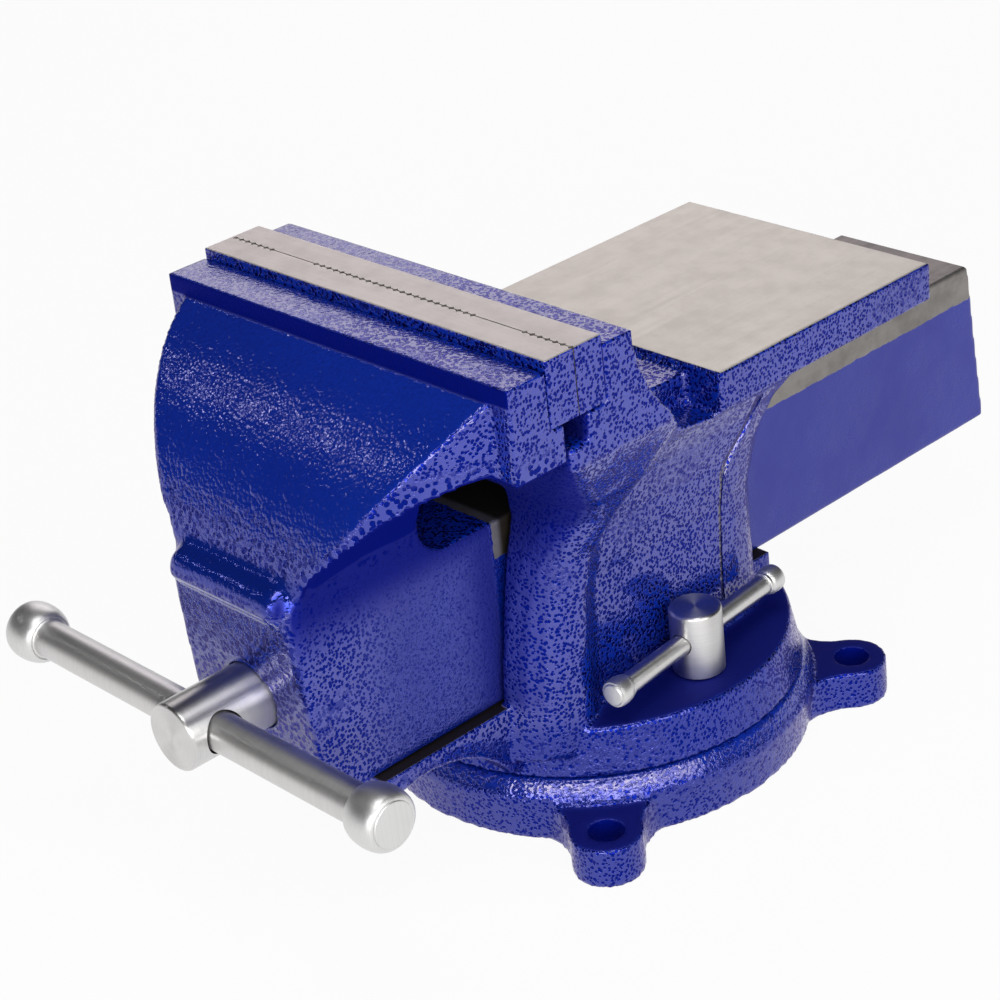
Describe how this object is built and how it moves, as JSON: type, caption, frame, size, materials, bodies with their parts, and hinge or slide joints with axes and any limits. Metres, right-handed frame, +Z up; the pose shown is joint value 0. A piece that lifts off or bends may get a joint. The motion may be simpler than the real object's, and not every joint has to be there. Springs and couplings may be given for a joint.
{
  "type": "bench vise",
  "caption": "Swivel bench vise with smooth anvil, sliding moving jaw, ribbed steel jaw plates, sliding tommy bar and two lock screws on a lugged base.",
  "frame": {"origin": "on the base's underside, where the swivel axis meets the bench", "axes": "+Z up along the swivel axis, +Y from the handle to the anvil along the slide, X along the jaws"},
  "size_m": [0.1742, 0.3423, 0.1793],
  "materials": {
    "blue_paint": "glossy hammered royal-blue paint over cast iron",
    "ground_steel": "ground",
    "turned_steel": "turned, bright",
    "machined_iron": "machined, oiled",
    "black_steel": "black oxide",
    "spring_steel": "drawn"
  },
  "bodies": {
    "base": {"base_ring": "blue_paint"},
    "swivel_body": {"swivel_body": "blue_paint", "fixed_jaw_plate": "ground_steel", "fixed_plate_screw_left": "black_steel", "fixed_plate_screw_right": "black_steel", "main_nut": "machined_iron", "nut_bolt": "black_steel", "clamp_nut_left": "black_steel", "clamp_nut_right": "black_steel"},
    "moving_jaw": {"moving_jaw": "blue_paint", "moving_jaw_plate": "ground_steel", "moving_plate_screw_left": "black_steel", "moving_plate_screw_right": "black_steel", "thrust_washer": "black_steel", "release_spring": "spring_steel"},
    "screw": {"main_screw": "turned_steel", "retaining_collar": "black_steel", "split_pin": "spring_steel"},
    "handle": {"handle_bar": "turned_steel", "handle_knob_left": "turned_steel", "handle_knob_right": "turned_steel"},
    "lock_screw_left": {"lock_screw_left": "turned_steel"},
    "lock_bar_left": {"lock_bar_left": "turned_steel", "lock_bar_left_cap_front": "turned_steel", "lock_bar_left_cap_rear": "turned_steel"},
    "lock_screw_right": {"lock_screw_right": "turned_steel"},
    "lock_bar_right": {"lock_bar_right": "turned_steel", "lock_bar_right_cap_front": "turned_steel", "lock_bar_right_cap_rear": "turned_steel"}
  },
  "joints": [
    {"name": "swivel", "type": "hinge", "parent": "base", "child": "swivel_body", "pos_m": [0, 0, 0], "axis": [0, 0, 1], "continuous": true},
    {"name": "jaw_slide", "type": "slide", "parent": "swivel_body", "child": "moving_jaw", "axis": [0, -1, 0], "range_m": [0, 0.15]},
    {"name": "screw_spin", "type": "hinge", "parent": "moving_jaw", "child": "screw", "pos_m": [0, -0.1531, 0.0761], "axis": [0, -1, 0], "range_deg": [0, 10800]},
    {"name": "handle_slide", "type": "slide", "parent": "screw", "child": "handle", "axis": [1, 0, 0], "range_m": [-0.059, 0.066]},
    {"name": "lock_screw_left_turn", "type": "hinge", "parent": "swivel_body", "child": "lock_screw_left", "pos_m": [-0.0507, 0, 0.05], "axis": [0, 0, 1], "range_deg": [-4, 4]},
    {"name": "lock_bar_left_slide", "type": "slide", "parent": "lock_screw_left", "child": "lock_bar_left", "axis": [-0.0993, -0.9951, 0], "range_m": [-0.026, 0.026]},
    {"name": "lock_screw_right_turn", "type": "hinge", "parent": "swivel_body", "child": "lock_screw_right", "pos_m": [0.0507, 0, 0.05], "axis": [0, 0, 1], "range_deg": [-4, 4]},
    {"name": "lock_bar_right_slide", "type": "slide", "parent": "lock_screw_right", "child": "lock_bar_right", "axis": [0.0993, -0.9951, 0], "range_m": [-0.026, 0.026]}
  ],
  "couplings": [
    {"joint": "jaw_slide", "follows": "screw_spin", "m_per_rad": 0.00079577}
  ]
}
